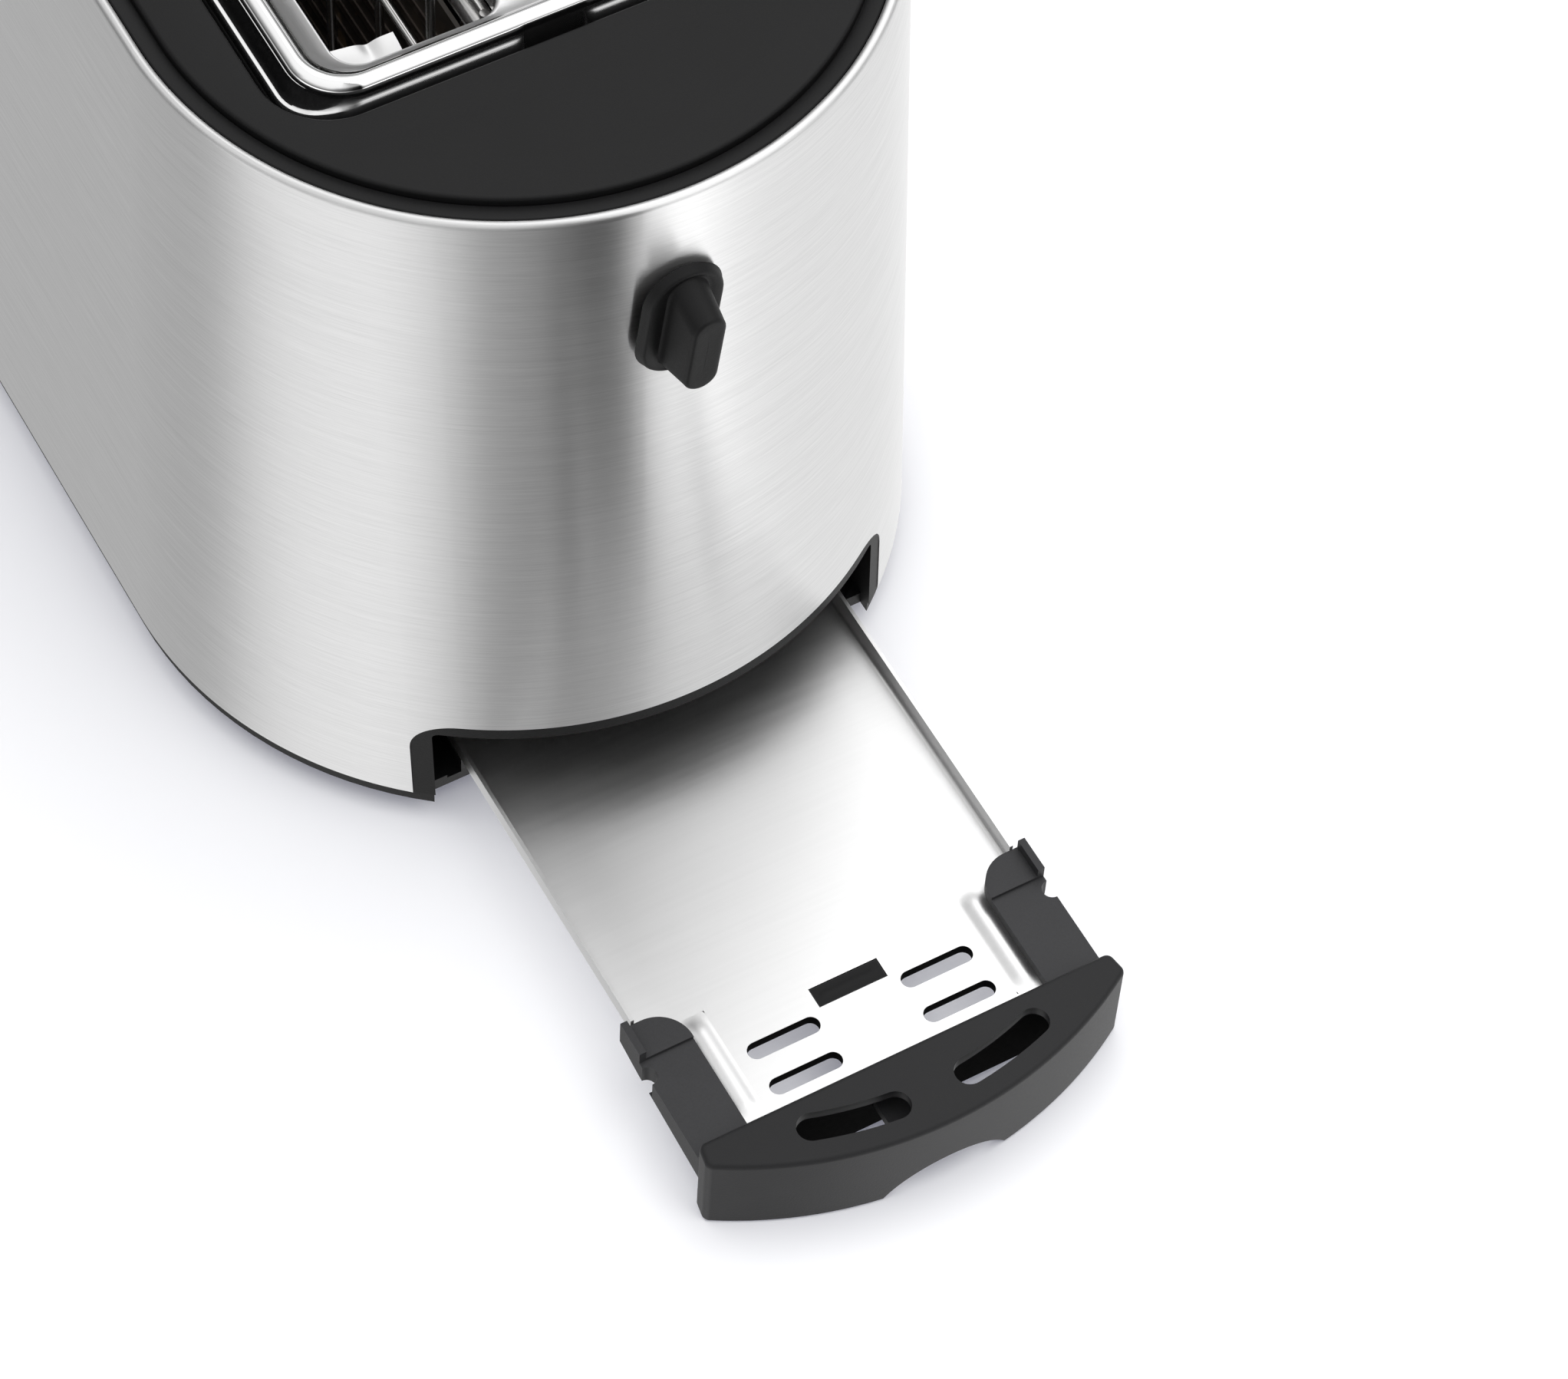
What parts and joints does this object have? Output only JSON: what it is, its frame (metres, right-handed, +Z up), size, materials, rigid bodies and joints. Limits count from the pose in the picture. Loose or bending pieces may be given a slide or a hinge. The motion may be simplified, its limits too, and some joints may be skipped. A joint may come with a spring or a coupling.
{
  "type": "pop up toaster",
  "caption": "Long-bodied toaster with rounded ends, wide bread slots, a lifting roll warmer raised by a side knob, and a pull-out crumb tray with a bowed handle.",
  "frame": {"origin": "on the worktop plane, under the middle of the body between the feet", "axes": "+X along the body to the crumb tray end, -Y to the front, +Z up"},
  "size_m": [0.4293, 0.1825, 0.201],
  "materials": {
    "brushed_shell": "brushed, grain runs round the body",
    "black_plastic": "fine matte grain",
    "grey_plastic": "fine matte grain",
    "polished_frame": "polished bead, brushed inner slope",
    "tray_steel": "satin sheet",
    "bright_sheet": "plated sheet",
    "mica": "flaky grey-brown board",
    "ribbon": "oxidised flat wire",
    "wire": "bright drawn wire",
    "rubber": "matte",
    "screw_steel": "zinc plated",
    "gear_plastic": "moulded",
    "board": "circuit board",
    "magnet_iron": "bare",
    "slider_metal": "pressed part"
  },
  "bodies": {
    "body": {"outer_shell": "brushed_shell", "top_cover": "black_plastic", "base_tub": "black_plastic", "feet": "rubber", "base_screws": "screw_steel", "tray_surround": "black_plastic", "knob_end_plate": "bright_sheet", "lever_end_plate": "bright_sheet", "slice_tabs": "bright_sheet", "rack_guides": "gear_plastic", "knob_bush": "black_plastic", "guide_rods": "wire", "rod_bridge": "bright_sheet", "latch_magnet": "magnet_iron", "return_spring": "wire", "control_panel": "black_plastic", "circuit_board": "board", "dial_potentiometer": "grey_plastic", "button_switches": "grey_plastic", "cord_gland": "black_plastic", "front_reflector": "bright_sheet", "rear_reflector": "bright_sheet", "front_heater_board": "mica", "centre_heater_board": "mica", "rear_heater_board": "mica", "front_ribbon": "ribbon", "centre_front_ribbon": "ribbon", "centre_rear_ribbon": "ribbon", "rear_ribbon": "ribbon", "front_outer_guard": "wire", "front_inner_guard": "wire", "rear_inner_guard": "wire", "rear_outer_guard": "wire"},
    "crumb_tray": {"tray_sheet": "tray_steel", "tray_handle": "grey_plastic"},
    "turning_knob": {"turn_knob": "black_plastic", "knob_shaft": "wire", "knob_end_pinion": "gear_plastic", "lever_end_pinion": "gear_plastic"},
    "roll_warmer": {"warmer_frame": "polished_frame", "knob_end_rack": "bright_sheet", "lever_end_rack": "bright_sheet"},
    "carriage": {"carriage_slider": "slider_metal", "lever_knob": "black_plastic", "armature": "magnet_iron", "front_bread_rest": "bright_sheet", "rear_bread_rest": "bright_sheet"},
    "dial": {"browning_dial": "black_plastic"},
    "reheat": {"reheat_button": "black_plastic"},
    "stop": {"stop_button": "black_plastic"},
    "defrost": {"defrost_button": "black_plastic"}
  },
  "joints": [
    {"name": "tray_slide", "type": "slide", "parent": "body", "child": "crumb_tray", "axis": [1, 0, 0], "range_m": [-0.11, 0.09]},
    {"name": "knob_turn", "type": "hinge", "parent": "body", "child": "turning_knob", "pos_m": [0.142, -0.0048, 0.1642], "axis": [1, 0, 0], "range_deg": [0, 90]},
    {"name": "warmer_lift", "type": "slide", "parent": "body", "child": "roll_warmer", "axis": [0, 0, 1], "range_m": [0, 0.02827]},
    {"name": "carriage_slide", "type": "slide", "parent": "body", "child": "carriage", "axis": [0, 0, 1], "range_m": [-0.08, 0], "stiffness_N_per_m": 60, "springref_m": 0.08, "deforming": ["return_spring"]},
    {"name": "dial_turn", "type": "hinge", "parent": "body", "child": "dial", "pos_m": [-0.15, 0, 0.056], "axis": [-1, 0, 0], "range_deg": [-135, 135]},
    {"name": "reheat_press", "type": "slide", "parent": "body", "child": "reheat", "axis": [1, 0, 0], "range_m": [0, 0.0025], "stiffness_N_per_m": 300, "springref_m": -0.0015},
    {"name": "stop_press", "type": "slide", "parent": "body", "child": "stop", "axis": [1, 0, 0], "range_m": [0, 0.0025], "stiffness_N_per_m": 300, "springref_m": -0.0015},
    {"name": "defrost_press", "type": "slide", "parent": "body", "child": "defrost", "axis": [1, 0, 0], "range_m": [0, 0.0025], "stiffness_N_per_m": 300, "springref_m": -0.0015}
  ],
  "couplings": [
    {"joint": "knob_turn", "follows": "warmer_lift", "rad_per_m": 55.556}
  ]
}
